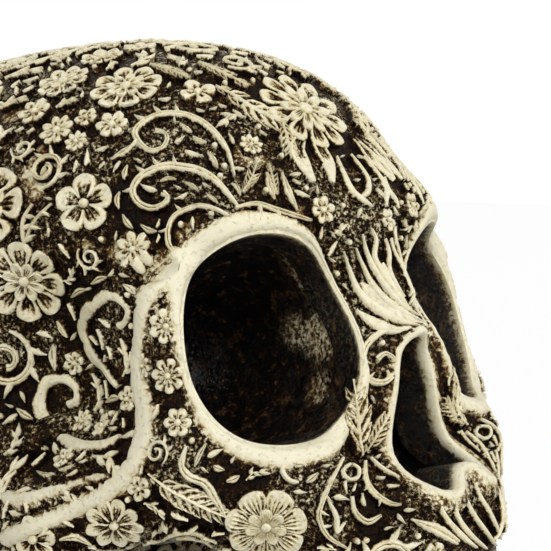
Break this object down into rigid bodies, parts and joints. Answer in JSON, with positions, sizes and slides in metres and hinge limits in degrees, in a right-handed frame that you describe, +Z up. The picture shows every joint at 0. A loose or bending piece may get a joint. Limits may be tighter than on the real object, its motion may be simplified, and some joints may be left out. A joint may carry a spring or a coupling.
{
  "type": "skull ornament",
  "caption": "Life-size skull ornament in antiqued cast resin, carved with flowers and scrolls: hollow cranium, bonded lower jaw, base plug and felt pads.",
  "frame": {"origin": "on the surface that the ornament stands on, under the middle of its bounding box", "axes": "+Z up, the face looks along -Y, +X is the skull's own left side"},
  "size_m": [0.1396, 0.2126, 0.1593],
  "materials": {
    "cast_resin": "Cold-cast polyester resin in antique ivory, its carved ground washed dark brown and its raised parts wiped back and lightly polished",
    "steel_rod": "Plain drawn steel rod, sealed inside the castings",
    "plug_resin": "Dark brown cast resin, sanded flat",
    "felt": "Pressed dark brown felt"
  },
  "bodies": {
    "root": {"cranium_casting": "cast_resin", "jaw_casting": "cast_resin", "jaw_dowel_right": "steel_rod", "jaw_dowel_left": "steel_rod", "base_plug": "plug_resin", "felt_pad_front_right": "felt", "felt_pad_front_left": "felt", "felt_pad_back_right": "felt", "felt_pad_back_left": "felt"}
  },
  "joints": []
}
